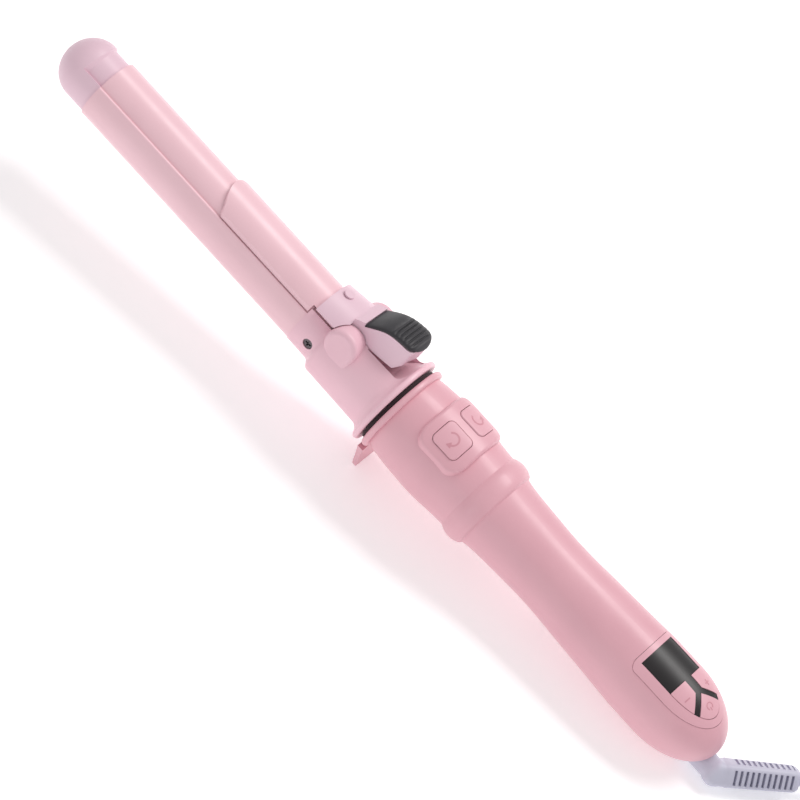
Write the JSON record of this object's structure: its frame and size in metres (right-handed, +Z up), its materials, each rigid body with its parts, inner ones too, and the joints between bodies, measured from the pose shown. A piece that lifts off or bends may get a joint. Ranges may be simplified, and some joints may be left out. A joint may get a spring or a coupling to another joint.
{
  "type": "curling iron",
  "caption": "Clamp curling iron with a motor-turned barrel, a tapered handle with a display end, a stand tab and a swivel cord with a coiled lead.",
  "frame": {"origin": "centre of the stand tab's foot, on the surface that the tool rests on", "axes": "+Z up, +X along the floor from the stand tab towards the cord end, +Y to the left of +X; the tool's axis dips 5.9 degrees towards +X"},
  "size_m": [0.503, 0.0987, 0.0666],
  "materials": {
    "barrel_coating": "satin rose ceramic coating on aluminium",
    "lilac_plastic": "satin lilac-pink heat-resistant moulding",
    "pink_plastic": "satin rose-pink ABS moulding",
    "inlay_plastic": "satin light pink inlay",
    "pad_rubber": "matt black thumb rubber",
    "window_black": "gloss black display lens",
    "boot_white": "pale lavender soft PVC",
    "cord_pvc": "pale lavender-grey PVC cord",
    "steel": "bright zinc-plated steel",
    "screw_steel": "dark screw steel",
    "aluminium": "mill-finish aluminium",
    "brass": "plain brass",
    "ceramic": "white fired ceramic",
    "gear_nylon": "natural nylon",
    "board_green": "green circuit board",
    "dark_parts": "black component plastic"
  },
  "bodies": {
    "handle": {"rest_stand": "pink_plastic", "upper_shell": "pink_plastic", "lower_shell": "pink_plastic", "shell_screws": "screw_steel", "display_bezel": "inlay_plastic", "display_window": "window_black", "main_board": "board_green", "display_module": "dark_parts", "key_switches": "dark_parts", "board_parts": "dark_parts", "button_board": "board_green", "button_switches": "dark_parts", "front_bushing": "brass", "rear_bushing": "brass", "brush_block": "dark_parts", "brushes": "dark_parts", "motor_gearbox": "brass", "motor_can": "steel", "contact_holder": "dark_parts", "contact_springs": "brass"},
    "head": {"cool_tip": "lilac_plastic", "tip_pins": "screw_steel", "barrel": "barrel_coating", "heater_plate": "ceramic", "heater_wedges": "aluminium", "thermistor": "ceramic", "insulator_sleeve": "ceramic", "head_collar": "pink_plastic", "barrel_screws": "screw_steel", "pivot_pin": "steel", "clamp_spring": "steel", "drive_shaft": "steel", "drive_gear": "gear_nylon", "slip_ring_carrier": "gear_nylon", "slip_rings": "brass", "retaining_ring": "steel"},
    "clamp": {"clamp_plate": "barrel_coating", "clamp_lever": "lilac_plastic", "thumb_pad": "pad_rubber", "clamp_rivet": "lilac_plastic"},
    "pinion": {"motor_pinion": "brass", "motor_shaft": "steel"},
    "left_button": {"rotate_left_button": "inlay_plastic"},
    "right_button": {"rotate_right_button": "inlay_plastic"},
    "plus": {"plus_key": "inlay_plastic"},
    "minus": {"minus_key": "inlay_plastic"},
    "power": {"power_key": "inlay_plastic"},
    "cord_swivel": {"swivel_boot": "boot_white", "swivel_pin": "brass", "swivel_sleeve": "brass", "cord_tube": "cord_pvc", "cord_coil": "cord_pvc", "coil_tie": "dark_parts", "cord_tail": "cord_pvc", "plug_body": "boot_white", "plug_pins": "steel"}
  },
  "joints": [
    {"name": "head_spin", "type": "hinge", "parent": "handle", "child": "head", "pos_m": [-0.18912, 0, 0.05357], "axis": [0.9948, 0, -0.102], "continuous": true},
    {"name": "pinion_spin", "type": "hinge", "parent": "handle", "child": "pinion", "pos_m": [0.01, 0, 0.02109], "axis": [0.9948, 0, -0.102], "continuous": true},
    {"name": "clamp_lift", "type": "hinge", "parent": "head", "child": "clamp", "pos_m": [-0.02897, 0.00259, 0.04686], "axis": [-0.0264, 0.9659, -0.2575], "range_deg": [0, 13], "stiffness_Nm_per_rad": 0.3, "springref_deg": -11.46, "deforming": ["clamp_spring"]},
    {"name": "left_press", "type": "slide", "parent": "handle", "child": "left_button", "axis": [-0.0954, 0.3535, -0.9306], "range_m": [0, 0.0006], "stiffness_N_per_m": 1500, "springref_m": -0.0004},
    {"name": "right_press", "type": "slide", "parent": "handle", "child": "right_button", "axis": [-0.0954, -0.3535, -0.9306], "range_m": [0, 0.0006], "stiffness_N_per_m": 1500, "springref_m": -0.0004},
    {"name": "plus_press", "type": "slide", "parent": "handle", "child": "plus", "axis": [-0.102, 0, -0.9948], "range_m": [0, 0.0005], "stiffness_N_per_m": 1500, "springref_m": -0.0004},
    {"name": "minus_press", "type": "slide", "parent": "handle", "child": "minus", "axis": [-0.102, 0, -0.9948], "range_m": [0, 0.0005], "stiffness_N_per_m": 1500, "springref_m": -0.0004},
    {"name": "power_press", "type": "slide", "parent": "handle", "child": "power", "axis": [-0.102, 0, -0.9948], "range_m": [0, 0.0005], "stiffness_N_per_m": 1500, "springref_m": -0.0004},
    {"name": "cord_turn", "type": "hinge", "parent": "handle", "child": "cord_swivel", "pos_m": [0.18099, 0, 0.00637], "axis": [0.9948, 0, -0.102], "continuous": true}
  ],
  "couplings": [
    {"joint": "pinion_spin", "follows": "head_spin", "ratio": -3}
  ]
}
